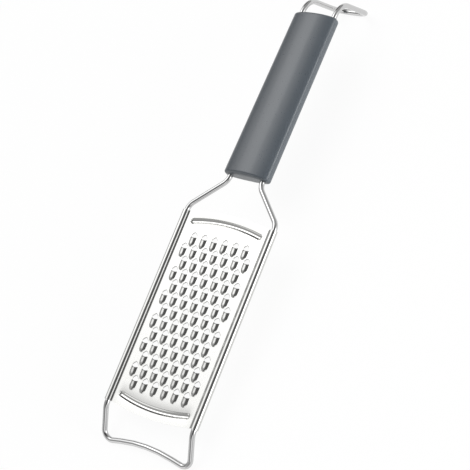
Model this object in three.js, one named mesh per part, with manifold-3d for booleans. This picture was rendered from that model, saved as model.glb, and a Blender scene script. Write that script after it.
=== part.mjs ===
// Flat kitchen grater: a toothed steel blade whose long edges are rolled round a bent wire frame,
// with a plastic handle moulded over the two wires. Millimetres and degrees, +Z up, standing as it
// rests on a table: on the two corners of its foot and on the end of its hanging loop.

import * as THREE from 'three';
import { mergeGeometries, mergeVertices } from 'three/addons/utils/BufferGeometryUtils.js';
import Module from 'manifold-3d';

// Wire frame
const WIRE_DIAMETER = 3.5;
const RAIL_SPAN = 65.2;
const GRIP_SPAN = 24;
const WIRE_LEAD = 0.2;
const SHOULDER_ANGLE = 45;
const SHOULDER_RADIUS = 8.5;
const BUTT_GAP = 0.6;

// Foot loop
const LEG_ANGLE = 31;
const LEG_LENGTH = 22.2;
const LEG_RADIUS = 10;
const FOOT_CORNER_RADIUS = 5.5;
const FOOT_APEX = 6.6;
const FOOT_ARCH_RADIUS = 95;

// Hanging loop
const HOOK_ANGLE = 69;
const HOOK_LENGTH = 38.5;
const HOOK_LEAD = 1.8;
const HOOK_RADIUS = 14;
const HOOK_CORNER_RADIUS = 9;

// Handle
const HANDLE_LENGTH = 115;
const HANDLE_THICKNESS = 12.4;
const HANDLE_LEAN = 2.4;
const HANDLE_LEAN_RADIUS = 60;
const HANDLE_RISE = 0.4;
const HANDLE_WALL_NEAR = 2.5;
const HANDLE_WALL_FAR = 1.6;
const HANDLE_EDGE = 1.6;
const HANDLE_SQUARENESS = 2.4;
const HANDLE_GAP = 0.3;

// Blade
const SHEET = 0.45;
const SHEET_RISE = 0.5;
const ROLL_GAP = 0.25;
const ROLL_BEND = 1.5;
const ROLL_WRAP = 320;
const ROLL_LENGTH = 125.2;
const EDGE_BULGE = 2.9;

// Stiffening grooves across the blade, pressed into the toothed face
const GROOVE_WIDTH = 4;
const GROOVE_DEPTH = 0.9;
const GROOVE_LIFT = 0.6;
const GROOVE_BULGE = 2.8;
const GROOVE_MARGIN = 5.6;
const GROOVE_SETBACK = 5.9;

// Grating teeth
const TOOTH_PITCH = 7.8;
const ROW_PITCH = 7.8;
const HOOD_WIDTH = 4.6;
const HOOD_LENGTH = 6.8;
const HOOD_HEIGHT = 1.1;
const HOOD_SINK = 0.8;
const HOOD_TILT = 4;
const HOOD_BLUNTNESS = 3;
const MOUTH_LEAN = 40;
const HOLE_LENGTH = 2.9;
const TOOTH_MARGIN = 3.2;
const ROW_MARGIN = 0.8;

// Facets
const WIRE_SIDES = 12;
const BEND_STEP = 15;
const BEND_CHORD = 7;
const HANDLE_SIDES = 44;
const HANDLE_EDGE_STEPS = 3;
const ROLL_SEGMENTS = 7;
const HOOD_SIDES = 10;
const HOLLOW_SIDES = 6;
const HOOD_CAP_RINGS = 2;
const GROOVE_SIDES = 12;
const GROOVE_STEPS = 10;
const CUT_REACH = 20;

const wireRadius = WIRE_DIAMETER / 2;
const railX = RAIL_SPAN / 2;
const gripX = GRIP_SPAN / 2;
const rollInner = wireRadius + ROLL_GAP;
const rollOuter = rollInner + SHEET;
const rollEnd = ROLL_LENGTH / 2;
const radians = THREE.MathUtils.degToRad;

const wasm = await Module();
wasm.setup();

// A closed solid for joining and cutting, from a geometry with its shared vertices merged
function solidFrom(geometry) {
  const bare = geometry.clone();
  bare.deleteAttribute('normal');
  bare.deleteAttribute('uv');
  const welded = mergeVertices(bare);
  const index = welded.index.array;
  const triangles = [];
  for (let i = 0; i < index.length; i += 3) {
    const [a, b, c] = index.slice(i, i + 3);
    if (a !== b && b !== c && c !== a) triangles.push(a, b, c);
  }
  return new wasm.Manifold(new wasm.Mesh({
    numProp: 3,
    vertProperties: new Float32Array(welded.attributes.position.array),
    triVerts: new Uint32Array(triangles),
  }));
}

function geometryFrom(solid) {
  const mesh = solid.getMesh();
  const geometry = new THREE.BufferGeometry();
  geometry.setAttribute('position', new THREE.BufferAttribute(mesh.vertProperties, 3));
  geometry.setIndex(new THREE.BufferAttribute(mesh.triVerts, 1));
  return geometry;
}

// Corner points rounded by arcs, as stations that each hold a point and the direction there
function roundedStations(corners) {
  const stations = [];
  corners.forEach(({ point, radius }, i) => {
    const before = corners[i - 1];
    const after = corners[i + 1];
    if (!before || !after) {
      const from = before ? before.point : point;
      const to = after ? after.point : point;
      stations.push({ point, tangent: to.clone().sub(from).normalize() });
      return;
    }
    const inward = point.clone().sub(before.point).normalize();
    const outward = after.point.clone().sub(point).normalize();
    const turn = inward.angleTo(outward);
    const axis = inward.clone().cross(outward).normalize();
    const start = point.clone().addScaledVector(inward, -radius * Math.tan(turn / 2));
    const centre = start.clone().addScaledVector(axis.clone().cross(inward), radius);
    const arm = start.clone().sub(centre);
    const byAngle = Math.ceil(turn / radians(BEND_STEP));
    const byLength = Math.ceil((turn * radius) / BEND_CHORD);
    const steps = Math.max(2, byAngle, byLength);
    for (let k = 0; k <= steps; k++) {
      const angle = (turn * k) / steps;
      stations.push({
        point: arm.clone().applyAxisAngle(axis, angle).add(centre),
        tangent: inward.clone().applyAxisAngle(axis, angle),
      });
    }
  });
  return stations;
}

// A curve that runs through its stations, one step from each to the next
class StationCurve extends THREE.Curve {
  constructor(stations) {
    super();
    this.stations = stations;
  }

  getPoint(t, target = new THREE.Vector3()) {
    const place = t * (this.stations.length - 1);
    const i = Math.min(Math.floor(place), this.stations.length - 2);
    return target.lerpVectors(this.stations[i].point, this.stations[i + 1].point, place - i);
  }

  getPointAt(u, target) {
    return this.getPoint(u, target);
  }

  getTangentAt(u, target = new THREE.Vector3()) {
    return target.copy(this.stations[Math.round(u * (this.stations.length - 1))].tangent);
  }
}

function ringShape(halfWidth, halfHeight, sides) {
  const points = [];
  for (let i = 0; i < sides; i++) {
    const angle = (i / sides) * Math.PI * 2;
    points.push(new THREE.Vector2(halfWidth * Math.cos(angle), halfHeight * Math.sin(angle)));
  }
  return new THREE.Shape(points);
}

function sweep(shape, stations) {
  const extrudePath = new StationCurve(stations);
  return new THREE.ExtrudeGeometry(shape, { steps: stations.length - 1, extrudePath });
}

// Places along the wire, in the blade's frame: Y towards the handle, Z = 0 on the sheet's face
const wireZ = -SHEET_RISE;
const shoulderTangent = SHOULDER_RADIUS * Math.tan(radians(SHOULDER_ANGLE / 2));
const shoulderLow = rollEnd + WIRE_LEAD + shoulderTangent;
const shoulderHigh = shoulderLow + (railX - gripX) / Math.tan(radians(SHOULDER_ANGLE));
const handleNear = shoulderHigh + shoulderTangent + WIRE_LEAD;

const leanWay = new THREE.Vector3(0, Math.cos(radians(HANDLE_LEAN)), -Math.sin(radians(HANDLE_LEAN)));
const hookTurn = radians(HANDLE_LEAN + HOOK_ANGLE);
const hookWay = new THREE.Vector3(0, Math.cos(hookTurn), -Math.sin(hookTurn));
const hookReach = HOOK_LEAD + HOOK_RADIUS * Math.tan(radians(HOOK_ANGLE / 2));
const gripStart = new THREE.Vector3(0, handleNear, wireZ);
const hookCorner = gripStart.clone().addScaledVector(leanWay, HANDLE_LENGTH + hookReach);
const hookEnd = hookCorner.clone().addScaledVector(hookWay, HOOK_LENGTH);
const hookCornerRadius = Math.min(HOOK_CORNER_RADIUS, gripX - wireRadius);
const buttJoint = gripStart.clone().addScaledVector(leanWay, HANDLE_LENGTH / 2);

const legWay = new THREE.Vector3(0, -Math.cos(radians(LEG_ANGLE)), -Math.sin(radians(LEG_ANGLE)));
const legTangent = LEG_RADIUS * Math.tan(radians(LEG_ANGLE / 2));
const legStart = new THREE.Vector3(0, -(rollEnd + WIRE_LEAD + legTangent), wireZ);
const footEnd = legStart.clone().addScaledVector(legWay, LEG_LENGTH);
const footApex = footEnd.clone().addScaledVector(legWay, -FOOT_APEX);
const footTurn = Math.PI / 2 + Math.atan2(FOOT_APEX, railX);
const footRounding = FOOT_CORNER_RADIUS * (Math.tan(footTurn / 2) - 1);
const footTouch = footEnd.clone().addScaledVector(legWay, -footRounding);

function at(x, place) {
  return new THREE.Vector3(x, place.y, place.z);
}

// The corners of one side of the frame, from the hanging loop down to the foot
function sideCorners(side) {
  return [
    { point: at(side * gripX, hookEnd), radius: hookCornerRadius },
    { point: at(side * gripX, hookCorner), radius: HOOK_RADIUS },
    { point: at(side * gripX, gripStart), radius: HANDLE_LEAN_RADIUS },
    { point: new THREE.Vector3(side * gripX, shoulderHigh, wireZ), radius: SHOULDER_RADIUS },
    { point: new THREE.Vector3(side * railX, shoulderLow, wireZ), radius: SHOULDER_RADIUS },
    { point: at(side * railX, legStart), radius: LEG_RADIUS },
    { point: at(side * railX, footEnd), radius: FOOT_CORNER_RADIUS },
  ];
}

// One wire bent into a loop, whose two ends meet inside the handle
function wireGeometry() {
  const [rightLoop, rightHook, ...rightRest] = sideCorners(1);
  const start = at(gripX, buttJoint).addScaledVector(leanWay, BUTT_GAP / 2);
  const end = at(gripX, buttJoint).addScaledVector(leanWay, -BUTT_GAP / 2);
  const corners = [
    { point: start },
    rightHook,
    rightLoop,
    ...sideCorners(-1),
    { point: footApex, radius: FOOT_ARCH_RADIUS },
    ...rightRest.reverse(),
    { point: end },
  ];
  return sweep(ringShape(wireRadius, wireRadius, WIRE_SIDES), roundedStations(corners));
}

// An outline with flattened sides, between an ellipse and a rectangle
function ovalShape(halfWidth, halfHeight, power, sides) {
  const points = [];
  for (let i = 0; i < sides; i++) {
    const angle = (i / sides) * Math.PI * 2;
    const c = Math.cos(angle);
    const s = Math.sin(angle);
    points.push(new THREE.Vector2(
      halfWidth * Math.sign(c) * Math.abs(c) ** (2 / power),
      halfHeight * Math.sign(s) * Math.abs(s) ** (2 / power),
    ));
  }
  return new THREE.Shape(points);
}

// The handle in its own frame: Y along its length from the blade end, Z out of its front
function handleGeometry(handleMatrix) {
  const nearHalf = gripX + wireRadius + HANDLE_WALL_NEAR;
  const farHalf = gripX + wireRadius + HANDLE_WALL_FAR;
  const oval = ovalShape(nearHalf, HANDLE_THICKNESS / 2, HANDLE_SQUARENESS, HANDLE_SIDES);
  const body = new THREE.ExtrudeGeometry(oval, {
    depth: HANDLE_LENGTH - 2 * HANDLE_EDGE,
    bevelThickness: HANDLE_EDGE,
    bevelSize: HANDLE_EDGE,
    bevelOffset: -HANDLE_EDGE,
    bevelSegments: HANDLE_EDGE_STEPS,
  });
  body.rotateX(Math.PI / 2);
  body.translate(0, HANDLE_LENGTH - HANDLE_EDGE, 0);
  const place = body.attributes.position;
  for (let i = 0; i < place.count; i++) {
    const share = place.getY(i) / HANDLE_LENGTH;
    place.setX(i, place.getX(i) * THREE.MathUtils.lerp(1, farHalf / nearHalf, share));
  }
  const toHandle = handleMatrix.clone().invert();
  const channelShape = ringShape(wireRadius + HANDLE_GAP, wireRadius + HANDLE_GAP, WIRE_SIDES);
  const channels = [-1, 1].map((side) => {
    const run = sideCorners(side).slice(0, 4);
    return sweep(channelShape, roundedStations(run)).applyMatrix4(toHandle);
  });
  return geometryFrom(solidFrom(body).subtract(solidFrom(mergeGeometries(channels))));
}

// The sheet's cross-section: flat near the wires' mid-height, each edge bent up, over and round its wire
function sheetProfile() {
  const wrap = radians(ROLL_WRAP);
  const down = -Math.PI / 2;
  const bendRise = ROLL_BEND - wireZ;
  const bendReach = Math.sqrt((rollOuter + ROLL_BEND) ** 2 - bendRise ** 2);
  const bendX = railX - bendReach;
  const bendTurn = -Math.atan2(bendRise, bendReach);
  const leftTurn = -Math.PI - bendTurn;
  const backBend = ROLL_BEND + SHEET;
  const profile = new THREE.Shape();
  profile.moveTo(-bendX, -SHEET);
  profile.absarc(bendX, ROLL_BEND, backBend, down, bendTurn, false);
  profile.absarc(railX, wireZ, rollInner, Math.PI + bendTurn, Math.PI + bendTurn - wrap, true);
  profile.absarc(railX, wireZ, rollOuter, Math.PI + bendTurn - wrap, Math.PI + bendTurn, false);
  profile.absarc(bendX, ROLL_BEND, ROLL_BEND, bendTurn, down, true);
  profile.absarc(-bendX, ROLL_BEND, ROLL_BEND, down, leftTurn, true);
  profile.absarc(-railX, wireZ, rollOuter, -bendTurn, wrap - bendTurn, false);
  profile.absarc(-railX, wireZ, rollInner, wrap - bendTurn, -bendTurn, true);
  profile.absarc(-bendX, ROLL_BEND, backBend, leftTurn, down, false);
  return profile;
}

// The radius and centre height of an arc over a chord of a given half width
function arcOver(halfChord, bulge) {
  const radius = (halfChord ** 2 + bulge ** 2) / (2 * bulge);
  return { radius, centre: bulge - radius };
}

// What is trimmed off an end of the sheet: square across the rolls, bowed out between them
function endTrim() {
  const chord = railX - rollOuter;
  const { radius, centre } = arcOver(chord, EDGE_BULGE);
  const sweepStart = Math.atan2(-centre, -chord);
  const sweepEnd = Math.atan2(-centre, chord);
  const outline = new THREE.Shape();
  outline.moveTo(-railX - CUT_REACH, rollEnd);
  outline.lineTo(-chord, rollEnd);
  outline.absarc(0, rollEnd + centre, radius, sweepStart, sweepEnd, true);
  outline.lineTo(railX + CUT_REACH, rollEnd);
  outline.lineTo(railX + CUT_REACH, rollEnd + CUT_REACH);
  outline.lineTo(-railX - CUT_REACH, rollEnd + CUT_REACH);
  const trim = new THREE.ExtrudeGeometry(outline, {
    depth: 2 * CUT_REACH, bevelEnabled: false, curveSegments: ROLL_SEGMENTS,
  });
  return trim.translate(0, 0, -CUT_REACH);
}

// A round-ended bar along an arc that presses a groove into the face, or with a wall its raised back
function grooveGeometry(wall) {
  const fullDepth = GROOVE_DEPTH + GROOVE_LIFT;
  const halfHeight = fullDepth + wall;
  const halfWidth = GROOVE_WIDTH / 2 / Math.sqrt(1 - (GROOVE_LIFT / fullDepth) ** 2) + wall;
  const halfSpan = railX - rollOuter - GROOVE_MARGIN;
  const { radius, centre } = arcOver(halfSpan, GROOVE_BULGE);
  const base = rollEnd + EDGE_BULGE - GROOVE_SETBACK - GROOVE_BULGE;
  const reach = Math.asin(halfSpan / radius);
  const stations = [];
  for (let i = 0; i <= GROOVE_STEPS; i++) {
    const angle = THREE.MathUtils.lerp(-reach, reach, i / GROOVE_STEPS);
    const out = new THREE.Vector3(Math.sin(angle), Math.cos(angle), 0);
    stations.push({
      point: out.clone().multiplyScalar(radius).add(new THREE.Vector3(0, base + centre, GROOVE_LIFT)),
      tangent: new THREE.Vector3(out.y, -out.x, 0),
    });
  }
  const bar = solidFrom(sweep(ringShape(halfHeight, halfWidth, GROOVE_SIDES), stations));
  const ends = [-1, 1].map((side) => {
    const end = new THREE.SphereGeometry(1, GROOVE_SIDES, GROOVE_SIDES / 2);
    end.rotateX(Math.PI / 2);
    end.scale(halfWidth, halfWidth, halfHeight);
    return end.translate(side * halfSpan, base, GROOVE_LIFT);
  });
  return geometryFrom(bar.add(solidFrom(mergeGeometries(ends))));
}

// A lying capsule with blunted ends, tilted up towards the tooth's mouth at Y = 0
function hoodCapsule(inset, low, high, sides) {
  const fullHeight = HOOD_HEIGHT + HOOD_SINK;
  const radius = HOOD_WIDTH / 2 / Math.sqrt(1 - (HOOD_SINK / fullHeight) ** 2) - inset;
  const rise = (fullHeight - inset) / radius;
  const straight = high - low - 2 * radius;
  const capsule = new THREE.CapsuleGeometry(radius, straight, HOOD_CAP_RINGS, sides, 1);
  const place = capsule.attributes.position;
  for (let i = 0; i < place.count; i++) {
    const past = Math.abs(place.getY(i)) - straight / 2;
    const spread = Math.hypot(place.getX(i), place.getZ(i));
    if (past <= 0 || spread <= 0) continue;
    const blunt = (spread / radius) ** (2 / HOOD_BLUNTNESS - 1);
    const reach = radius * (past / radius) ** (2 / HOOD_BLUNTNESS);
    place.setX(i, place.getX(i) * blunt);
    place.setZ(i, place.getZ(i) * blunt);
    place.setY(i, Math.sign(place.getY(i)) * (straight / 2 + reach));
  }
  capsule.translate(0, (low + high) / 2, 0);
  capsule.scale(1, 1, rise);
  capsule.rotateX(radians(HOOD_TILT));
  return capsule.translate(0, 0, -HOOD_SINK);
}

// The raised hood of one tooth: flat below, inside the sheet, and leaning back at the mouth
function hoodGeometry() {
  const floor = -SHEET / 2;
  const roof = 2 * HOOD_HEIGHT;
  const lean = Math.tan(radians(MOUTH_LEAN));
  const side = new THREE.Shape();
  side.moveTo(-2 * HOOD_LENGTH, floor);
  side.lineTo(-floor * lean, floor);
  side.lineTo(-roof * lean, roof);
  side.lineTo(-2 * HOOD_LENGTH, roof);
  const block = new THREE.ExtrudeGeometry(side, { depth: 2 * HOOD_WIDTH, bevelEnabled: false });
  block.rotateX(Math.PI / 2);
  block.rotateZ(Math.PI / 2);
  block.translate(-HOOD_WIDTH, 0, 0);
  const capsule = hoodCapsule(0, -HOOD_LENGTH, HOOD_WIDTH, HOOD_SIDES);
  return geometryFrom(solidFrom(capsule).intersect(solidFrom(block)));
}

// The middle of each tooth's mouth: staggered rows, as many as the sheet has room for
function toothPlaces() {
  const halfWidth = railX - rollOuter - TOOTH_MARGIN - HOOD_WIDTH / 2;
  const wide = 2 * Math.floor((2 * halfWidth) / TOOTH_PITCH / 2) + 1;
  const grooveInside = rollEnd + EDGE_BULGE - GROOVE_SETBACK - GROOVE_BULGE - GROOVE_WIDTH / 2;
  const halfLength = grooveInside - ROW_MARGIN - Math.max(HOOD_LENGTH, HOLE_LENGTH);
  const rows = 2 * Math.floor((2 * halfLength) / ROW_PITCH / 2) + 1;
  const places = [];
  for (let row = 0; row < rows; row++) {
    const count = wide - ((row + 1) % 2);
    for (let i = 0; i < count; i++) {
      places.push([(i - (count - 1) / 2) * TOOTH_PITCH, (row - (rows - 1) / 2) * ROW_PITCH]);
    }
  }
  return places;
}

function atEveryTooth(template, places) {
  return solidFrom(mergeGeometries(places.map(([x, y]) => template.clone().translate(x, y, 0))));
}

function bladeGeometry() {
  const length = ROLL_LENGTH + CUT_REACH;
  const strip = new THREE.ExtrudeGeometry(sheetProfile(), {
    depth: length, bevelEnabled: false, curveSegments: ROLL_SEGMENTS,
  });
  strip.rotateX(Math.PI / 2);
  strip.translate(0, length / 2, 0);
  const trims = [endTrim(), endTrim().rotateZ(Math.PI)];
  const grooves = [grooveGeometry(0), grooveGeometry(0).rotateZ(Math.PI)];
  const grooveBacks = [grooveGeometry(SHEET), grooveGeometry(SHEET).rotateZ(Math.PI)];
  const places = toothPlaces();
  const hoods = atEveryTooth(hoodGeometry(), places);
  const hollow = hoodCapsule(SHEET, SHEET - HOOD_LENGTH, HOLE_LENGTH, HOLLOW_SIDES);
  const hollows = atEveryTooth(hollow, places);
  const plate = solidFrom(strip).subtract(solidFrom(mergeGeometries(trims)));
  const behind = new THREE.BoxGeometry(RAIL_SPAN, 2 * length, CUT_REACH);
  behind.translate(0, 0, -CUT_REACH / 2 - SHEET / 2);
  const backs = solidFrom(mergeGeometries(grooveBacks)).intersect(solidFrom(behind));
  return geometryFrom(plate.add(hoods).add(backs)
    .subtract(hollows)
    .subtract(solidFrom(mergeGeometries(grooves))));
}

function piece(name, geometry, color, roughness, metalness) {
  const mesh = new THREE.Mesh(geometry, new THREE.MeshStandardMaterial({ color, roughness, metalness }));
  mesh.name = name;
  return mesh;
}

// The handle sits on the two wires, leaning back with them
const handle = piece('handle', new THREE.BufferGeometry(), 0x5b6167, 0.55, 0);
const handleFront = leanWay.clone().cross(new THREE.Vector3(-1, 0, 0));
handle.position.copy(gripStart).addScaledVector(handleFront, HANDLE_RISE);
handle.rotation.x = -radians(HANDLE_LEAN);
handle.updateMatrix();
handle.geometry = handleGeometry(handle.matrix);

const tool = new THREE.Group();
tool.add(
  piece('wire_frame', wireGeometry(), 0xd9dbdc, 0.18, 1),
  piece('blade', bladeGeometry(), 0xdcddde, 0.25, 1),
  handle,
);

// Tip the tool until the foot's corners and the hanging loop stand on the same level
tool.rotation.x = Math.atan2(footTouch.z - hookEnd.z, hookEnd.y - footTouch.y);

const grater = new THREE.Group();
grater.add(tool);

// Origin in the middle of the underside of the whole tool
const box = new THREE.Box3().setFromObject(grater, true);
const middle = box.getCenter(new THREE.Vector3());
tool.position.set(-middle.x, -middle.y, -box.min.z);

export default grater;
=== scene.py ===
# %% [markdown]
# # A flat kitchen grater
# The tool is three pieces: a bent steel wire frame, a toothed steel blade whose long edges are rolled
# round that wire, and a plastic handle moulded over the two wires. The measured solids are loaded first.
# Each is then replaced by a finer piece of the same size in the same place.

# %% Load the measured solids
import math

import bmesh
import bpy
from mathutils import Matrix, Vector


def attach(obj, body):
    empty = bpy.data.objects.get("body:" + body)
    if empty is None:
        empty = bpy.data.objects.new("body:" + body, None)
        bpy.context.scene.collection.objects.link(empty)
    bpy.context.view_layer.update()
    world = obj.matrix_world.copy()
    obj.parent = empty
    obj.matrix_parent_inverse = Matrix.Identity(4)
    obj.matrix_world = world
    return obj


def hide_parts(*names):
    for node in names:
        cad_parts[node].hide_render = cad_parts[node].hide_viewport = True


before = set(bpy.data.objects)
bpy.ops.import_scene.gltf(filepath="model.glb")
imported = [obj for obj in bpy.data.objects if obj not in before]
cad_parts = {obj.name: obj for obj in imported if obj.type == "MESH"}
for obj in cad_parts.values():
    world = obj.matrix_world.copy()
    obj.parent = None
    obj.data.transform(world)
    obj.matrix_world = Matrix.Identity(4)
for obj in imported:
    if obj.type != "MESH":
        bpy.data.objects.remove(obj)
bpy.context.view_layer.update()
print("solids:", sorted(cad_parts))

# %% [markdown]
# ## Sizes
# All sizes are millimetres on the real tool. They are given in the blade's own frame: X across the
# blade, Y towards the handle and Z out of the toothed face, with zero on that face. On a table the tool
# stands on the corners of its foot and on its hanging loop, so the blade's frame is tipped up a little.

# %% Wire and blade sizes
WIRE_DIAMETER = 3.5
RAIL_SPAN = 65.2
GRIP_SPAN = 24
SHEET = 0.45
SHEET_RISE = 0.5
ROLL_GAP = 0.2
ROLL_BEND = 2.2
ROLL_WRAP = math.radians(320)
ROLL_LENGTH = 125.2
EDGE_BULGE = 2.9

wire_radius = WIRE_DIAMETER / 2
rail_x = RAIL_SPAN / 2
grip_x = GRIP_SPAN / 2
roll_inner = wire_radius + ROLL_GAP
roll_outer = roll_inner + SHEET
roll_end = ROLL_LENGTH / 2
wire_z = -SHEET_RISE
print("each rolled edge is", round(2 * roll_outer, 2), "mm across")

# %% From the blade's frame in millimetres to the table's frame in metres
TOOL_TILT = math.radians(5.6565)
TOOL_SHIFT = Vector((0, -75.132, 21.224))
MILLIMETRE = 0.001

tip_up = Matrix.Rotation(TOOL_TILT, 4, "X")
to_table = Matrix.Scale(MILLIMETRE, 4) @ Matrix.Translation(TOOL_SHIFT) @ tip_up
print("blade's middle on the table, in metres:", to_table @ Vector((0, 0, 0)))

# %% [markdown]
# ## Mesh helpers
# Every surface here is a skin over a row of cross-sections, which is called a loft. Each cross-section is
# a ring of points, neighbouring rings are joined by four-sided faces, and the first and last are closed.

# %% Loft and object helpers
def loft(rings):
    """Points and faces of a closed skin over rings that all have the same number of points"""
    count = len(rings[0])
    points = [point for ring in rings for point in ring]
    faces = [tuple(range(count)), tuple(range(len(points) - 1, len(points) - count - 1, -1))]
    for row in range(len(rings) - 1):
        for k in range(count):
            after = (k + 1) % count
            low = row * count
            faces.append((low + after, low + k, low + count + k, low + count + after))
    return points, faces


def solid_object(name, parts):
    """One mesh object made of closed skins, moved to the table's frame, with its faces turned outwards"""
    points = []
    faces = []
    for part_points, part_faces in parts:
        start = len(points)
        points += [to_table @ Vector(point) for point in part_points]
        faces += [tuple(start + k for k in face) for face in part_faces]
    mesh = bpy.data.meshes.new(name)
    mesh.from_pydata(points, [], faces)
    work = bmesh.new()
    work.from_mesh(mesh)
    bmesh.ops.recalc_face_normals(work, faces=work.faces)
    work.to_mesh(mesh)
    work.free()
    made = bpy.data.objects.new(name, mesh)
    bpy.context.scene.collection.objects.link(made)
    return made


def join_or_cut(target, tool, operation):
    """Joins a tool to the target or cuts it out, keeps the result as plain mesh and drops the tool"""
    step = target.modifiers.new(operation.lower(), "BOOLEAN")
    step.operation = operation
    step.solver = "MANIFOLD"
    step.object = tool
    graph = bpy.context.evaluated_depsgraph_get()
    result = bpy.data.meshes.new_from_object(target.evaluated_get(graph))
    target.modifiers.clear()
    target.data = result
    bpy.data.objects.remove(tool)


def smooth_skin(piece, crease):
    """Shades the skin as curved, apart from edges that bend more sharply than the crease angle"""
    piece.data.shade_smooth()
    piece.data.set_sharp_from_angle(angle=crease)
    level = piece.modifiers.new("flat faces stay flat", "WEIGHTED_NORMAL")
    level.keep_sharp = True


print("a loft of two triangles has", len(loft([[0, 1, 2], [3, 4, 5]])[1]), "faces")

# %% [markdown]
# ## The wire frame
# One length of bright steel wire makes the whole frame. A wire bender turns it at a few corners, so it is
# drawn here as a line of corner points, each with its bend radius. A Bezier curve could follow the same
# line, but true arcs keep the even bends that a bending tool leaves.

# %% Corners of the frame
SHOULDER_ANGLE = math.radians(45)
SHOULDER_RADIUS = 8.5
WIRE_LEAD = 0.2
HANDLE_LENGTH = 115
HANDLE_LEAN = math.radians(2.4)
HANDLE_LEAN_RADIUS = 60
HOOK_ANGLE = math.radians(69)
HOOK_LENGTH = 38.5
HOOK_LEAD = 1.8
HOOK_RADIUS = 14
HOOK_CORNER_RADIUS = 9
LEG_ANGLE = math.radians(31)
LEG_LENGTH = 22.2
LEG_RADIUS = 10
FOOT_CORNER_RADIUS = 5.5
FOOT_APEX = 6.6
FOOT_ARCH_RADIUS = 95

shoulder_tangent = SHOULDER_RADIUS * math.tan(SHOULDER_ANGLE / 2)
shoulder_low = roll_end + WIRE_LEAD + shoulder_tangent
shoulder_high = shoulder_low + (rail_x - grip_x) / math.tan(SHOULDER_ANGLE)
handle_near = shoulder_high + shoulder_tangent + WIRE_LEAD

lean_way = Vector((0, math.cos(HANDLE_LEAN), -math.sin(HANDLE_LEAN)))
hook_turn = HANDLE_LEAN + HOOK_ANGLE
hook_way = Vector((0, math.cos(hook_turn), -math.sin(hook_turn)))
hook_reach = HOOK_LEAD + HOOK_RADIUS * math.tan(HOOK_ANGLE / 2)
grip_start = Vector((0, handle_near, wire_z))
hook_corner = grip_start + lean_way * (HANDLE_LENGTH + hook_reach)
hook_end = hook_corner + hook_way * HOOK_LENGTH

leg_way = Vector((0, -math.cos(LEG_ANGLE), -math.sin(LEG_ANGLE)))
leg_start = Vector((0, -(roll_end + WIRE_LEAD + LEG_RADIUS * math.tan(LEG_ANGLE / 2)), wire_z))
foot_end = leg_start + leg_way * LEG_LENGTH
foot_apex = foot_end - leg_way * FOOT_APEX


def side_corners(side):
    """Corner points and bend radii of one side of the frame, from the hanging loop down to the foot"""
    grip = Vector((side * grip_x, 0, 0))
    rail = Vector((side * rail_x, 0, 0))
    return [
        (hook_end + grip, HOOK_CORNER_RADIUS),
        (hook_corner + grip, HOOK_RADIUS),
        (grip_start + grip, HANDLE_LEAN_RADIUS),
        (Vector((side * grip_x, shoulder_high, wire_z)), SHOULDER_RADIUS),
        (Vector((side * rail_x, shoulder_low, wire_z)), SHOULDER_RADIUS),
        (leg_start + rail, LEG_RADIUS),
        (foot_end + rail, FOOT_CORNER_RADIUS),
    ]


print("corners on each side:", len(side_corners(1)))

# %% Round the corners and draw the wire along them
BEND_STEP = math.radians(6)
LEAST_BEND_STEPS = 3
STRAIGHT_STEP = 6
WIRE_SIDES = 28
WIRE_CREASE = math.radians(60)
SKIN_ALLOWANCE = 0.02
BUTT_GAP = 1


def rounded_line(corners):
    """Points and directions along a line whose corners are turned to their radii"""
    line = [(corners[0][0], (corners[1][0] - corners[0][0]).normalized())]
    for (before, _), (corner, radius), (after, _) in zip(corners, corners[1:], corners[2:]):
        inward = (corner - before).normalized()
        outward = (after - corner).normalized()
        turn = inward.angle(outward)
        axis = inward.cross(outward).normalized()
        start = corner - inward * radius * math.tan(turn / 2)
        centre = start + axis.cross(inward) * radius
        last = line[-1][0]
        pieces = max(1, round((start - last).length / STRAIGHT_STEP))
        line += [(last.lerp(start, k / pieces), inward) for k in range(1, pieces)]
        steps = max(LEAST_BEND_STEPS, math.ceil(turn / BEND_STEP))
        for k in range(steps + 1):
            spin = Matrix.Rotation(turn * k / steps, 3, axis)
            line.append((centre + spin @ (start - centre), spin @ inward))
    line.append((corners[-1][0], line[-1][1]))
    return line


def tube_rings(line, radius, sides):
    """Circles across a line, turned as little as the line allows from one to the next"""
    rings = []
    across = line[0][1].orthogonal().normalized()
    before = line[0][1]
    for point, way in line:
        across = before.rotation_difference(way) @ across
        up = way.cross(across)
        before = way
        turns = [2 * math.pi * k / sides for k in range(sides)]
        rings.append([point + (across * math.cos(a) + up * math.sin(a)) * radius for a in turns])
    return rings


right_side = side_corners(1)
butt_joint = grip_start + lean_way * HANDLE_LENGTH / 2 + Vector((grip_x, 0, 0))
frame_corners = [(butt_joint, 0), right_side[1], right_side[0]]
frame_corners += side_corners(-1) + [(foot_apex, FOOT_ARCH_RADIUS)]
frame_corners += right_side[:1:-1] + [(butt_joint - lean_way * BUTT_GAP, 0)]
frame_line = rounded_line(frame_corners)
wire_rings = tube_rings(frame_line, wire_radius - SKIN_ALLOWANCE, WIRE_SIDES)
wire = solid_object("bent_wire", [loft(wire_rings)])
smooth_skin(wire, WIRE_CREASE)
wire_length = sum((b[0] - a[0]).length for a, b in zip(frame_line, frame_line[1:]))
print("wire length:", round(wire_length), "mm")

# %% [markdown]
# ## The blade's sheet
# The blade starts as flat stainless sheet, 0.45 mm thick. Its two ends are cut to a shallow bow and its
# long edges are bent up, over and round the wire, so that the sheet lies near the wire's mid-height. Near
# each end, where a groove is pressed later, the sheet is drawn down a little. The cross-section is given as
# pairs of points, one on each face, and each pair is drawn out along the blade. A plane thickened by a
# modifier would also do, but this way the sheet is a closed solid at once, ready for the teeth.

# %% Lines of the bends, the bowed ends and the grooves
GROOVE_WIDTH = 4
GROOVE_BULGE = 2.8
GROOVE_MARGIN = 5.6
GROOVE_SETBACK = 5.9
DIP_DEPTH = 0.32
DIP_REACH = 8.5

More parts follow.
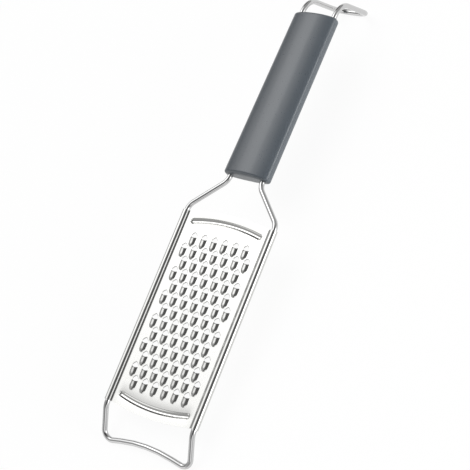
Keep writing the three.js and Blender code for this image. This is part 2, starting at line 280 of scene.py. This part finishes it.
groove_half = GROOVE_WIDTH / 2
groove_reach = rail_x - roll_outer - GROOVE_MARGIN
groove_base = roll_end + EDGE_BULGE - GROOVE_SETBACK - GROOVE_BULGE
bow_chord = rail_x - roll_outer
bend_rise = ROLL_BEND + SHEET_RISE
bend_reach = math.sqrt((roll_outer + ROLL_BEND) ** 2 - bend_rise ** 2)
bend_x = rail_x - bend_reach
bend_turn = -math.atan2(bend_rise, bend_reach)


def bow_height(x, half_chord, bulge):
    """Height of a shallow arc over its chord"""
    radius = (half_chord ** 2 + bulge ** 2) / (2 * bulge)
    return math.sqrt(radius ** 2 - x ** 2) - (radius - bulge)


def half_length(x):
    """Half the sheet's length at a place across it: square at the rolls, bowed out between them"""
    if abs(x) >= bow_chord:
        return roll_end
    return roll_end + bow_height(x, bow_chord, EDGE_BULGE)


def groove_line(x):
    """Distance of a groove's middle from the blade's middle, at a place across the blade"""
    return groove_base + bow_height(min(abs(x), groove_reach), groove_reach, GROOVE_BULGE)


def dip(x, from_groove):
    """How far the sheet is drawn down near a groove; it stays level beside the rolled edges"""
    side = min(1, max(0, (bend_x - abs(x)) / (bend_x - groove_reach)))
    softened = side * side * (3 - 2 * side)
    return DIP_DEPTH * softened * max(0, 1 - abs(from_groove) / DIP_REACH) ** 2


print("the bends start", round(bend_x, 1), "mm from the blade's middle")

# %% Sheet with rolled edges and bowed ends
ROLL_STEPS = 48
BEND_STEPS = 9
FLAT_STEPS = 60
LIP_ROWS = 6
DIP_ROWS = 8


def turned(centre_x, centre_z, radius, angle):
    """A point at an angle on a circle across the blade"""
    return centre_x + radius * math.cos(angle), centre_z + radius * math.sin(angle)


def sheet_pairs():
    """Points on the toothed face and on the back, from one roll's free edge to the other's"""
    flat = [-bend_x + 2 * bend_x * k / FLAT_STEPS for k in range(FLAT_STEPS + 1)]
    middle = [((x, 0), (x, -SHEET)) for x in flat]
    right = []
    for k in range(1, BEND_STEPS + 1):
        angle = -math.pi / 2 + (math.pi / 2 + bend_turn) * k / BEND_STEPS
        face = turned(bend_x, ROLL_BEND, ROLL_BEND, angle)
        right.append((face, turned(bend_x, ROLL_BEND, ROLL_BEND + SHEET, angle)))
    for k in range(1, ROLL_STEPS + 1):
        angle = math.pi + bend_turn - ROLL_WRAP * k / ROLL_STEPS
        face = turned(rail_x, wire_z, roll_outer, angle)
        right.append((face, turned(rail_x, wire_z, roll_inner, angle)))
    left = [((-face_x, face_z), (-back_x, back_z)) for (face_x, face_z), (back_x, back_z) in right]
    return left[::-1] + middle + right


def sheet_rows(x):
    """Places along the sheet and how far it is drawn down at each, from one end to the other"""
    middle = groove_line(x)
    lip = half_length(x) - middle
    steps = [lip * k / LIP_ROWS for k in range(LIP_ROWS, 0, -1)]
    steps += [-DIP_REACH * k / DIP_ROWS for k in range(DIP_ROWS + 1)]
    upper = [(middle + step, dip(x, step)) for step in steps]
    return upper + [(-y, fall) for y, fall in upper[::-1]]


def sheet_skin():
    """The closed skin of the sheet, lofted across its width"""
    rings = []
    for (face_x, face_z), (back_x, back_z) in sheet_pairs():
        rows = sheet_rows(face_x)
        face = [Vector((face_x, y, face_z - fall)) for y, fall in rows]
        back = [Vector((back_x, y, back_z - fall)) for y, fall in rows]
        rings.append(face + back[::-1])
    return loft(rings)


blade = solid_object("toothed_blade", [sheet_skin()])
print("sheet faces:", len(blade.data.polygons))

# %% [markdown]
# ## The teeth
# A press cuts a slit in the sheet and pushes the metal below it up into a hood. The hood is blunt and
# closed towards the foot, climbs towards the handle and ends there in a leaning cutting edge, with a hole
# in front of it for the shreds to fall through. A bump map would not give the open mouth, so each hood is
# lofted as a solid, joined to the sheet, and hollowed by the same loft one sheet thinner. A last cut rounds
# over the rim of the hole, which a press leaves soft and not sharp.

# %% Shape of one hood
HOOD_WIDTH = 4.6
HOOD_LENGTH = 6.45
HOOD_HEIGHT = 1.05
HOOD_START = 0.02
HOOD_SPACING = 1.8
WIDTH_REACH = 3.6
WIDTH_BLUNTNESS = 2
HEIGHT_REACH = 2.6
HEIGHT_BLUNTNESS = 2.2
BACK_HEIGHT_SHARE = 0.8
MOUTH_HEIGHT_GAIN = 0.2
MOUTH_LEAN = math.radians(42)
LEAN_POWER = 3
HOOD_RINGS = 16
ARCH_STEPS = 22
# Shapes that are joined or cut overlap by at least this much, so that no two of them share a face
OVERLAP = 0.03


def rounded_rise(distance, reach, bluntness):
    """Rises from 0 to 1 over the reach like the end of a blunt oval"""
    left = 1 - min(1, distance / reach)
    return (1 - left ** bluntness) ** (1 / bluntness)


def across_share(k):
    """Place across a section, from -1 to 1, with the steps drawn closer together at both sides"""
    return math.sin(math.pi * (k / ARCH_STEPS - 0.5))


def arch_ring(y, half_width, height, floor, lean):
    """An arch across the tooth that stands on its floor and leans back as it climbs"""
    ring = []
    for k in range(ARCH_STEPS + 1):
        share = across_share(k)
        z = height * (1 - share ** 2) - OVERLAP
        ring.append(Vector((half_width * share, y - z * lean, z)))
    ring.append(Vector((half_width, y, floor)))
    ring.append(Vector((-half_width, y, floor)))
    return ring


def hood_rings(inset, floor):
    """Arches from the blunt end of a hood to its mouth at Y = 0"""
    length = HOOD_LENGTH - inset
    rings = []
    for k in range(HOOD_RINGS + 1):
        along = HOOD_START + (length - HOOD_START) * (k / HOOD_RINGS) ** HOOD_SPACING
        share = along / length
        half = (HOOD_WIDTH / 2 - inset) * rounded_rise(along, WIDTH_REACH, WIDTH_BLUNTNESS)
        climb = BACK_HEIGHT_SHARE + MOUTH_HEIGHT_GAIN * share
        height = (HOOD_HEIGHT - inset) * climb * rounded_rise(along, HEIGHT_REACH, HEIGHT_BLUNTNESS)
        lean = math.tan(MOUTH_LEAN) * share ** LEAN_POWER
        rings.append(arch_ring(along - length, half, height, floor, lean))
    return rings


hood_skin = loft(hood_rings(0, -SHEET / 2))
print("points in one hood:", len(hood_skin[0]))

# %% Hollow, hole and rounded rim of one tooth
HOLE_LENGTH = 2.95
HOLE_HALF = 2.2
HOLE_TAPER = 1.8
HOLE_TIP = 0.06
HOLLOW_DEPTH = 1.3
RIM_ROUND = 0.4
RIM_START = 0.2
RIM_LEVELS = 5


def hole_half(angle):
    """Half the hole's width, which narrows to a blunt tip as the angle goes from 0 to a quarter turn"""
    return HOLE_HALF * max(HOLE_TIP, math.cos(angle)) ** HOLE_TAPER


def hollow_rings():
    """The hood's hollow, run on past the mouth to the tip of the hole"""
    rings = hood_rings(SHEET, -HOLLOW_DEPTH)
    for k in range(1, HOOD_RINGS + 1):
        angle = math.pi / 2 * k / HOOD_RINGS
        y = HOLE_LENGTH * math.sin(angle)
        half = hole_half(angle)
        rings.append(arch_ring(y, half, HOOD_HEIGHT - SHEET, -HOLLOW_DEPTH, math.tan(MOUTH_LEAN)))
    return rings


def rim_rings():
    """A cutter that rounds over the rim of the hole, from the wall of the hole up to the face"""
    levels = []
    for k in range(RIM_LEVELS + 1):
        angle = math.pi / 2 * k / RIM_LEVELS
        out = RIM_ROUND * (1 - math.cos(angle)) - OVERLAP
        levels.append((out, RIM_ROUND * (math.sin(angle) - 1)))
    levels.append((RIM_ROUND - OVERLAP, SHEET))
    rings = []
    for out, z in levels:
        right = []
        for k in range(HOOD_RINGS + 1):
            angle = math.pi / 2 * (RIM_START + (1 - RIM_START) * k / HOOD_RINGS)
            x = hole_half(angle) + out * math.cos(angle)
            right.append(Vector((x, (HOLE_LENGTH + out) * math.sin(angle), z)))
        left = [Vector((-point.x, point.y, z)) for point in right[::-1]]
        rings.append(right + left)
    return rings


hollow_skin = loft(hollow_rings())
rim_skin = loft(rim_rings())
print("points in one hollow:", len(hollow_skin[0]), "and in one rim:", len(rim_skin[0]))

# %% Copy the tooth to its staggered rows
TOOTH_PITCH = 7.8
ROW_PITCH = 7.8
ROWS = 13
ROW_SHIFT = 0.3
TEETH_WIDE = 7


def tooth_places():
    """Middle of each mouth: rows of one tooth fewer stand between the full rows"""
    places = []
    for row in range(ROWS):
        count = TEETH_WIDE - (row + 1) % 2
        y = (row - (ROWS - 1) / 2) * ROW_PITCH + ROW_SHIFT
        places += [Vector(((k - (count - 1) / 2) * TOOTH_PITCH, y, 0)) for k in range(count)]
    return places


def at_each_tooth(skin):
    """Copies of a skin at every tooth"""
    points, faces = skin
    return [([point + place for point in points], faces) for place in tooth_places()]


join_or_cut(blade, solid_object("hoods", at_each_tooth(hood_skin)), "UNION")
join_or_cut(blade, solid_object("hollows", at_each_tooth(hollow_skin)), "DIFFERENCE")
join_or_cut(blade, solid_object("rims", at_each_tooth(rim_skin)), "DIFFERENCE")
print("teeth:", len(tooth_places()), "blade faces:", len(blade.data.polygons))

# %% [markdown]
# ## The grooves
# A groove is pressed down across each end of the blade to stiffen the thin sheet, and stands out as a rib
# on the back. It follows the bow of the blade's end and stops in round ends. A painted line would not catch
# the light on its two walls, so the back of the groove is lofted along that bow and joined on, and nearly
# the same loft is then cut into the toothed face.

# %% Press a groove across each end
GROOVE_DEPTH = 0.95
GROOVE_STEPS = 60
GROOVE_FULLNESS = 2.2
SHOULDER_ROUND = 1.4
BACK_EXTRA = 0.2
# The first and last sections stay just short of the tip and keep a little width, so that none is a point
TIP_SHARE = 0.9995
LEAST_WIDTH_SQUARED = 0.0004
BLADE_CREASE = math.radians(40)


def groove_rings(half, face, cover, end):
    """Round-bottomed sections along a groove that is sunk below a face, closed above it at the cover"""
    reach = groove_reach + half
    rings = []
    for k in range(GROOVE_STEPS + 1):
        x = -reach * math.cos(math.pi * k / GROOVE_STEPS) * TIP_SHARE
        past = max(0, abs(x) - groove_reach) / half
        shrink = math.sqrt(max(LEAST_WIDTH_SQUARED, 1 - past ** 2))
        y = groove_line(x)
        ring = []
        for m in range(ARCH_STEPS + 1):
            share = across_share(m)
            roundness = max(0, 1 - abs(share) ** GROOVE_FULLNESS) ** SHOULDER_ROUND
            depth = GROOVE_DEPTH * shrink * roundness
            ring.append(Vector((x * end, (y + half * shrink * share) * end, face - depth)))
        ring.append(Vector((x * end, (y + half * shrink) * end, cover)))
        ring.append(Vector((x * end, (y - half * shrink) * end, cover)))
        rings.append(ring)
    return rings


groove_drop = dip(0, groove_half)
back_level = -SHEET - groove_drop
face_level = OVERLAP - groove_drop
back_half = groove_half + BACK_EXTRA
backs = [loft(groove_rings(back_half, back_level, -SHEET / 2, end)) for end in (-1, 1)]
grooves = [loft(groove_rings(groove_half, face_level, SHEET, end)) for end in (-1, 1)]
join_or_cut(blade, solid_object("groove_backs", backs), "UNION")
join_or_cut(blade, solid_object("grooves", grooves), "DIFFERENCE")
smooth_skin(blade, BLADE_CREASE)
print("blade faces with grooves:", len(blade.data.polygons))

# %% [markdown]
# ## The handle
# The handle is moulded straight on to the two wires, so it has no screws and no seam at the front. Its
# section is a rounded box with a crowned front and a flatter back, it narrows a little towards the hanging
# loop, and both ends are rounded over. A subdivided box would need its corners tuned by eye; a loft of the
# true section does not.

# %% Section of the handle
HANDLE_THICKNESS = 12.4
HANDLE_RISE = 0.4
HANDLE_SQUARENESS = 4
FRONT_CROWN = 0.4
BACK_CROWN = 0.2
HANDLE_SIDES = 96

handle_front = Vector((1, 0, 0)).cross(lean_way)


def squared(value):
    """A sine or cosine pushed outwards, which turns a circle towards a rounded box"""
    return math.copysign(abs(value) ** (2 / HANDLE_SQUARENESS), value)


def handle_section(along, half_width, half_height):
    """A rounded section across the handle, with a crowned front and a flatter back"""
    centre = grip_start + lean_way * along + handle_front * HANDLE_RISE
    ring = []
    for k in range(HANDLE_SIDES):
        angle = 2 * math.pi * k / HANDLE_SIDES
        x = half_width * squared(math.cos(angle))
        crown = FRONT_CROWN if math.sin(angle) > 0 else BACK_CROWN
        fall = 1 - crown * (x / half_width) ** 2
        z = half_height * fall * squared(math.sin(angle))
        ring.append(centre + Vector((x, 0, 0)) + handle_front * z)
    return ring


print("handle is", HANDLE_LENGTH, "mm long and", HANDLE_THICKNESS, "mm thick")

# %% Loft the handle and let the wires through
HANDLE_WALL_NEAR = 2.5
HANDLE_WALL_FAR = 1.6
HANDLE_EDGE = 1.8
HANDLE_END_FALL = 3.6
HANDLE_RINGS = 24
EDGE_RINGS = 10
WIRE_CLEARANCE = 0.05
CHANNEL_CORNERS = 4
HANDLE_CREASE = math.radians(50)


def handle_rings():
    """Sections along the handle, drawn in at both rounded ends"""
    edge = [HANDLE_EDGE * (1 - math.cos(math.pi / 2 * k / EDGE_RINGS)) for k in range(EDGE_RINGS)]
    body = HANDLE_LENGTH - 2 * HANDLE_EDGE
    places = edge + [HANDLE_EDGE + body * k / HANDLE_RINGS for k in range(HANDLE_RINGS + 1)]
    places += [HANDLE_LENGTH - place for place in edge[::-1]]
    rings = []
    for along in places:
        from_end = min(along, HANDLE_LENGTH - along, HANDLE_EDGE)
        drawn_in = HANDLE_EDGE - math.sqrt(HANDLE_EDGE ** 2 - (HANDLE_EDGE - from_end) ** 2)
        wall = HANDLE_WALL_NEAR + (HANDLE_WALL_FAR - HANDLE_WALL_NEAR) * along / HANDLE_LENGTH
        half_width = grip_x + wire_radius + wall - drawn_in
        half_height = HANDLE_THICKNESS / 2 - drawn_in * HANDLE_END_FALL / HANDLE_EDGE
        rings.append(handle_section(along, half_width, half_height))
    return rings


handle = solid_object("moulded_handle", [loft(handle_rings())])
channels = []
for side in (-1, 1):
    channel_line = rounded_line(side_corners(side)[:CHANNEL_CORNERS])
    channels.append(loft(tube_rings(channel_line, wire_radius + WIRE_CLEARANCE, WIRE_SIDES)))
join_or_cut(handle, solid_object("wire_channels", channels), "DIFFERENCE")
smooth_skin(handle, HANDLE_CREASE)
print("handle faces:", len(handle.data.polygons))

# %% [markdown]
# ## Colours and shader nodes
# Colours are written as the hex values that a screen shows and turned to the linear values that a
# renderer works in. One small function adds a shader node, sets it and links it. Each of the tool's three
# finishes uses noise whose size is given in millimetres. The noise changes how rough the surface is and tips
# it a little, so that no surface is perfectly even.

# %% Colour and node helpers
def linear(hex_colour):
    """The linear colour of an sRGB hex value"""
    shares = [int(hex_colour[k:k + 2], 16) / 255 for k in (1, 3, 5)]
    return [s / 12.92 if s <= 0.04045 else ((s + 0.055) / 1.055) ** 2.4 for s in shares] + [1]


def add_node(tree, kind, settings=None, values=None, links=None):
    """Adds a node, sets its options and input values, and links its inputs from other outputs"""
    node = tree.nodes.new(kind)
    for name, value in (settings or {}).items():
        setattr(node, name, value)
    for name, value in (values or {}).items():
        node.inputs[name].default_value = value
    for name, output in (links or {}).items():
        tree.links.new(output, node.inputs[name])
    return node


def new_finish(name):
    """An empty material with its node tree and output"""
    finish = bpy.data.materials.new(name)
    finish.use_nodes = True
    finish.node_tree.nodes.clear()
    output = add_node(finish.node_tree, "ShaderNodeOutputMaterial")
    return finish, finish.node_tree, output


def per_millimetre(size):
    """Texture scale, in repeats per metre, for a feature of a size in millimetres"""
    return 1 / (size * MILLIMETRE)


print("mid grey is", round(linear("#808080")[0], 3), "as a linear value")

# %% [markdown]
# ## Bright rolled stainless steel
# Stainless sheet leaves the rolling mill almost mirror bright, with a faint grain along the rolling
# direction and a slight haze that differs from place to place. The grain is really about 0.1 mm wide, too
# fine to show at this distance, so it is drawn 0.7 mm wide. It changes the roughness and tips the surface
# a little, and the colour stays that of clean steel. An anisotropic shader could stretch the highlights
# across the grain, but sheet as bright as this mirrors almost evenly, so noise is enough.

# %% Sheet finish
# Most values of a noise lie between these two, over which each finish goes from smoothest to roughest
NOISE_LOW = 0.3
NOISE_HIGH = 0.7
GRAIN_WIDTH = 0.7
GRAIN_LENGTH = 18
GRAIN_DETAIL = 3
GRAIN_ROUGHNESS = 0.6
HAZE_SIZE = 16
HAZE_DETAIL = 2
HAZE_SHARE = 0.4
SHEET_SMOOTHEST = 0.12
SHEET_ROUGHEST = 0.2
SHEET_RELIEF = 0.02
SHEET_RELIEF_DEPTH = 0.02

sheet_finish, tree, output = new_finish("bright_rolled_stainless")
place = add_node(tree, "ShaderNodeTexCoord")
across = per_millimetre(GRAIN_WIDTH)
lengthwise = per_millimetre(GRAIN_LENGTH)
stretch = add_node(tree, "ShaderNodeMapping", values={"Scale": (across, lengthwise, across)},
                   links={"Vector": place.outputs["Object"]})
grain = add_node(tree, "ShaderNodeTexNoise",
                 values={"Scale": 1, "Detail": GRAIN_DETAIL, "Roughness": GRAIN_ROUGHNESS},
                 links={"Vector": stretch.outputs["Vector"]})
haze = add_node(tree, "ShaderNodeTexNoise",
                values={"Scale": per_millimetre(HAZE_SIZE), "Detail": HAZE_DETAIL},
                links={"Vector": place.outputs["Object"]})
both = add_node(tree, "ShaderNodeMix", values={"Factor": HAZE_SHARE},
                links={"A": grain.outputs["Fac"], "B": haze.outputs["Fac"]})
rough = add_node(tree, "ShaderNodeMapRange",
                 values={"From Min": NOISE_LOW, "From Max": NOISE_HIGH,
                         "To Min": SHEET_SMOOTHEST, "To Max": SHEET_ROUGHEST},
                 links={"Value": both.outputs["Result"]})
relief = add_node(tree, "ShaderNodeBump",
                  values={"Strength": SHEET_RELIEF, "Distance": SHEET_RELIEF_DEPTH * MILLIMETRE},
                  links={"Height": grain.outputs["Fac"]})
shader = add_node(tree, "ShaderNodeBsdfPrincipled",
                  values={"Base Color": linear("#d0d0ce"), "Metallic": 1},
                  links={"Roughness": rough.outputs["Result"], "Normal": relief.outputs["Normal"]})
tree.links.new(shader.outputs["BSDF"], output.inputs["Surface"])
print("made", sheet_finish.name)

# %% [markdown]
# ## Drawn and polished steel wire
# Wire is pulled through a die, which leaves fine lines along it, and is then polished, so it is smoother
# than the sheet. The lines could be drawn by a pattern that follows the wire's length, but at this size only
# a soft change of gloss is left to see of them, so a fine noise drives the roughness and a slight relief.

# %% Wire finish
DRAW_MARK = 1.2
DRAW_DETAIL = 3
WIRE_SMOOTHEST = 0.08
WIRE_ROUGHEST = 0.14
WIRE_RELIEF = 0.05
WIRE_RELIEF_DEPTH = 0.02

wire_finish, tree, output = new_finish("drawn_polished_steel_wire")
place = add_node(tree, "ShaderNodeTexCoord")
marks = add_node(tree, "ShaderNodeTexNoise",
                 values={"Scale": per_millimetre(DRAW_MARK), "Detail": DRAW_DETAIL},
                 links={"Vector": place.outputs["Object"]})
rough = add_node(tree, "ShaderNodeMapRange",
                 values={"From Min": NOISE_LOW, "From Max": NOISE_HIGH,
                         "To Min": WIRE_SMOOTHEST, "To Max": WIRE_ROUGHEST},
                 links={"Value": marks.outputs["Fac"]})
relief = add_node(tree, "ShaderNodeBump",
                  values={"Strength": WIRE_RELIEF, "Distance": WIRE_RELIEF_DEPTH * MILLIMETRE},
                  links={"Height": marks.outputs["Fac"]})
shader = add_node(tree, "ShaderNodeBsdfPrincipled",
                  values={"Base Color": linear("#c9c9c9"), "Metallic": 1},
                  links={"Roughness": rough.outputs["Result"], "Normal": relief.outputs["Normal"]})
tree.links.new(shader.outputs["BSDF"], output.inputs["Surface"])
print("made", wire_finish.name)

# %% [markdown]
# ## Moulded polypropylene
# The handle is grey polypropylene from a mould whose walls were finely spark eroded. That gives the eye a
# satin surface: broad soft highlights, a very fine grain and slight changes of shade. The grain could be
# modelled as a rough skin, but noise in the roughness and a slight relief look the same from here. It is
# drawn at 0.9 mm so that a trace of it shows.

# %% Handle finish
MOULD_GRAIN = 0.9
MOULD_DETAIL = 4
SHADE_SIZE = 25
SHADE_DETAIL = 2
PLASTIC_SMOOTHEST = 0.27
PLASTIC_ROUGHEST = 0.32
PLASTIC_RELIEF = 0.05
PLASTIC_RELIEF_DEPTH = 0.05
PLASTIC_IOR = 1.5
PLASTIC_SPECULAR = 0.7

handle_finish, tree, output = new_finish("spark_textured_polypropylene")
place = add_node(tree, "ShaderNodeTexCoord")
grain = add_node(tree, "ShaderNodeTexNoise",
                 values={"Scale": per_millimetre(MOULD_GRAIN), "Detail": MOULD_DETAIL},
                 links={"Vector": place.outputs["Object"]})
shade = add_node(tree, "ShaderNodeTexNoise",
                 values={"Scale": per_millimetre(SHADE_SIZE), "Detail": SHADE_DETAIL},
                 links={"Vector": place.outputs["Object"]})
tone = add_node(tree, "ShaderNodeMix", settings={"data_type": "RGBA"},
                values={"A": linear("#464c52"), "B": linear("#4c5258")},
                links={"Factor": shade.outputs["Fac"]})
rough = add_node(tree, "ShaderNodeMapRange",
                 values={"From Min": NOISE_LOW, "From Max": NOISE_HIGH,
                         "To Min": PLASTIC_SMOOTHEST, "To Max": PLASTIC_ROUGHEST},
                 links={"Value": grain.outputs["Fac"]})
relief = add_node(tree, "ShaderNodeBump",
                  values={"Strength": PLASTIC_RELIEF, "Distance": PLASTIC_RELIEF_DEPTH * MILLIMETRE},
                  links={"Height": grain.outputs["Fac"]})
shader = add_node(tree, "ShaderNodeBsdfPrincipled",
                  values={"IOR": PLASTIC_IOR, "Specular IOR Level": PLASTIC_SPECULAR},
                  links={"Base Color": tone.outputs["Result"], "Roughness": rough.outputs["Result"],
                         "Normal": relief.outputs["Normal"]})
tree.links.new(shader.outputs["BSDF"], output.inputs["Surface"])
print("made", handle_finish.name)

# %% [markdown]
# ## Putting the pieces on the frame
# Each finer piece stands for one measured solid, rides on the tool's only body and takes its finish.

# %% Hang the finishes and replace the solids
for piece, node_name, slot_name, finish in (
    (wire, "wire_frame", "steel_wire", wire_finish),
    (blade, "blade", "steel_sheet", sheet_finish),
    (handle, "handle", "handle_plastic", handle_finish),
):
    piece.data.materials.clear()
    piece.data.materials.append(finish)
    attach(piece, "root")
    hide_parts(node_name)
    print(piece.name, "stands for", node_name)

# %% [markdown]
# ## Floor
# A pale sheet of card runs under the tool to beyond the edge of the picture. It could simply be lit, but in
# a grey tent it would not come out white. So most of what the camera and the steel see of it is plain white,
# and the rest is lit, so that it keeps a soft shadow.

# %% Card floor
FLOOR_HALF = 3000
WHITE_SHARE = 0.92

floor_mesh = bpy.data.meshes.new("card_floor")
half = FLOOR_HALF * MILLIMETRE
corners = [(x * half, y * half, 0) for x, y in ((-1, -1), (1, -1), (1, 1), (-1, 1))]
floor_mesh.from_pydata(corners, [], [(0, 1, 2, 3)])
floor = bpy.data.objects.new("card_floor", floor_mesh)
bpy.context.scene.collection.objects.link(floor)

card, tree, output = new_finish("matt_white_card")
lit = add_node(tree, "ShaderNodeBsdfDiffuse", values={"Color": linear("#fafafa")})
plain = add_node(tree, "ShaderNodeEmission", values={"Color": linear("#ffffff"), "Strength": 1})
path = add_node(tree, "ShaderNodeLightPath")
seen = add_node(tree, "ShaderNodeMath", settings={"operation": "MAXIMUM"},
                links={0: path.outputs["Is Camera Ray"], 1: path.outputs["Is Glossy Ray"]})
through = add_node(tree, "ShaderNodeMath", settings={"operation": "MAXIMUM"},
                   links={0: seen.outputs["Value"], 1: path.outputs["Is Transmission Ray"]})
share = add_node(tree, "ShaderNodeMath", settings={"operation": "MULTIPLY"},
                 values={1: WHITE_SHARE}, links={0: through.outputs["Value"]})
mixed = add_node(tree, "ShaderNodeMixShader",
                 links={0: share.outputs["Value"], 1: lit.outputs["BSDF"], 2: plain.outputs["Emission"]})
tree.links.new(mixed.outputs["Shader"], output.inputs["Surface"])
floor_mesh.materials.append(card)
print("floor", 2 * FLOOR_HALF, "mm across")

# %% [markdown]
# ## Studio light
# Bright steel shows whatever stands round it, so the room is the light: a grey tent with soft patches, each
# round one direction. A pale panel high on the left and one low on the right, both with a bright core, make
# the sheet white and draw the white bands on the wires. The dark gap overhead between them draws the dark
# line down each wire. The left panel fades out towards the front, which shades one wall of each groove.
# The smaller panels and gaps in front and behind shade the legs, the foot and the edges of the grooves.
# No part of the tent is darker than a set value, also where gaps overlap.

# %% Tent with pale panels and dark gaps
TENT_GREY = 0.45
TENT_DARKEST = 0.07
# Name, direction, angle in degrees within which the patch is full, angle at which it ends, and gain
PANELS = (
    ("left panel", (-0.57, 0.30, 0.765), 14, 36, 1.15),
    ("right panel", (0.98, 0.18, 0.10), 16, 32, 1.15),
    ("gap overhead", (0.42, 0.10, 0.90), 20, 34, -0.33),
    ("left panel's core", (-0.52, 0.37, 0.77), 2, 12, 2.6),
    ("right panel's core", (0.98, 0.18, 0.10), 8, 20, 3.2),
    ("front panel", (0.56, -0.62, 0.55), 10, 24, 0.8),
    ("front gap", (0.18, -0.55, 0.81), 13, 25, -0.36),
    ("front sweep", (-0.60, -0.78, 0.10), 14, 21, 0.9),
    ("back gap", (-0.50, 0.82, 0.22), 12, 24, -0.35),
)
FADING_PANEL = "left panel"
PANEL_END_LOW = -0.12
PANEL_END_HIGH = 0.10

turn_to_table = tip_up.to_3x3()
world = bpy.data.worlds.new("studio_tent")
bpy.context.scene.world = world
world.use_nodes = True
tree = world.node_tree
tree.nodes.clear()
output = add_node(tree, "ShaderNodeOutputWorld")
way = add_node(tree, "ShaderNodeTexCoord")
light = add_node(tree, "ShaderNodeBackground", values={"Color": linear("#ffffff")})


def soft_step(label, direction, low, high, gain):
    """A value that rises softly from 0 to the gain as the view turns towards a direction"""
    centre = turn_to_table @ Vector(direction).normalized()
    nearness = add_node(tree, "ShaderNodeVectorMath",
                        settings={"operation": "DOT_PRODUCT", "label": label},
                        values={1: centre}, links={0: way.outputs["Generated"]})
    step = add_node(tree, "ShaderNodeMapRange", settings={"interpolation_type": "SMOOTHSTEP"},
                    values={"From Min": low, "From Max": high, "To Min": 0, "To Max": gain},
                    links={"Value": nearness.outputs["Value"]})
    return step.outputs["Result"]


grey = add_node(tree, "ShaderNodeValue")
grey.outputs["Value"].default_value = TENT_GREY
total = grey.outputs["Value"]
panel_end = soft_step("front end of the left panel", (0, 1, 0), PANEL_END_LOW, PANEL_END_HIGH, 1)
for name, panel_way, full_angle, edge_angle, gain in PANELS:
    edge_nearness = math.cos(math.radians(edge_angle))
    full_nearness = math.cos(math.radians(full_angle))
    patch = soft_step(name, panel_way, edge_nearness, full_nearness, gain)
    if name == FADING_PANEL:
        faded = add_node(tree, "ShaderNodeMath", settings={"operation": "MULTIPLY"},
                         links={0: patch, 1: panel_end})
        patch = faded.outputs["Value"]
    added = add_node(tree, "ShaderNodeMath", settings={"operation": "ADD"}, links={0: total, 1: patch})
    total = added.outputs["Value"]
strength = add_node(tree, "ShaderNodeMath", settings={"operation": "MAXIMUM"},
                    values={1: TENT_DARKEST}, links={0: total})
tree.links.new(strength.outputs["Value"], light.inputs["Strength"])
tree.links.new(light.outputs["Background"], output.inputs["Surface"])
print("tent with", len(PANELS), "patches")

# %% [markdown]
# ## Lamps
# Two soft lamps light the handle and the floor. A brighter tent could do that too, but the steel would mirror
# it. The lamps are hidden from reflections, because the steel would show their square outlines.

# %% Soft lamps
LAMP_DISTANCE = 1300
# Name, direction, size in millimetres and watts
LAMPS = (
    ("top_lamp", Vector((-0.20, 0.10, 0.97)).normalized(), 900, 4.5),
    ("right_lamp", Vector((0.98, 0.05, 0.12)).normalized(), 700, 15),
)

for name, lamp_way, lamp_size, watts in LAMPS:
    lamp_data = bpy.data.lights.new(name, "AREA")
    lamp_data.size = lamp_size * MILLIMETRE
    lamp_data.energy = watts
    lamp = bpy.data.objects.new(name, lamp_data)
    lamp.visible_glossy = False
    lamp.location = lamp_way * LAMP_DISTANCE * MILLIMETRE
    lamp.rotation_euler = (-lamp_way).to_track_quat("-Z", "Y").to_euler()
    bpy.context.scene.collection.objects.link(lamp)
    print(name, "of", watts, "W")

# %% [markdown]
# ## Camera
# The camera stands where the photograph's did. Its place and turn were found by matching the teeth and the
# straight wires to the picture, and are given here in the blade's frame like the sizes.

# %% Camera at the photograph's angle
CAMERA_PLACE = Vector((483.9, -120.6, 683.3))
CAMERA_RIGHT = Vector((0.8046, 0.3683, -0.4658))
CAMERA_DOWN = Vector((0.1999, -0.9066, -0.3716))
FOCAL_PIXELS = 1424.2
IMAGE_PIXELS = 470
SENSOR_WIDTH = 36

right = CAMERA_RIGHT.normalized()
back = right.cross(-CAMERA_DOWN).normalized()
up = back.cross(right)
camera_data = bpy.data.cameras.new("camera")
camera_data.sensor_width = SENSOR_WIDTH
camera_data.lens = FOCAL_PIXELS * SENSOR_WIDTH / IMAGE_PIXELS
camera = bpy.data.objects.new("camera", camera_data)
turn = Matrix((right, up, back)).transposed().to_4x4()
camera.matrix_world = Matrix.Translation(to_table @ CAMERA_PLACE) @ tip_up @ turn
bpy.context.scene.collection.objects.link(camera)
bpy.context.scene.camera = camera
bpy.context.scene.view_settings.view_transform = "Standard"
print("lens:", round(camera_data.lens, 1), "mm")

# %% [markdown]
# ## Last update
# The scene is brought up to date once more, so that every piece stands in its place.

# %% Bring the scene up to date
bpy.context.view_layer.update()
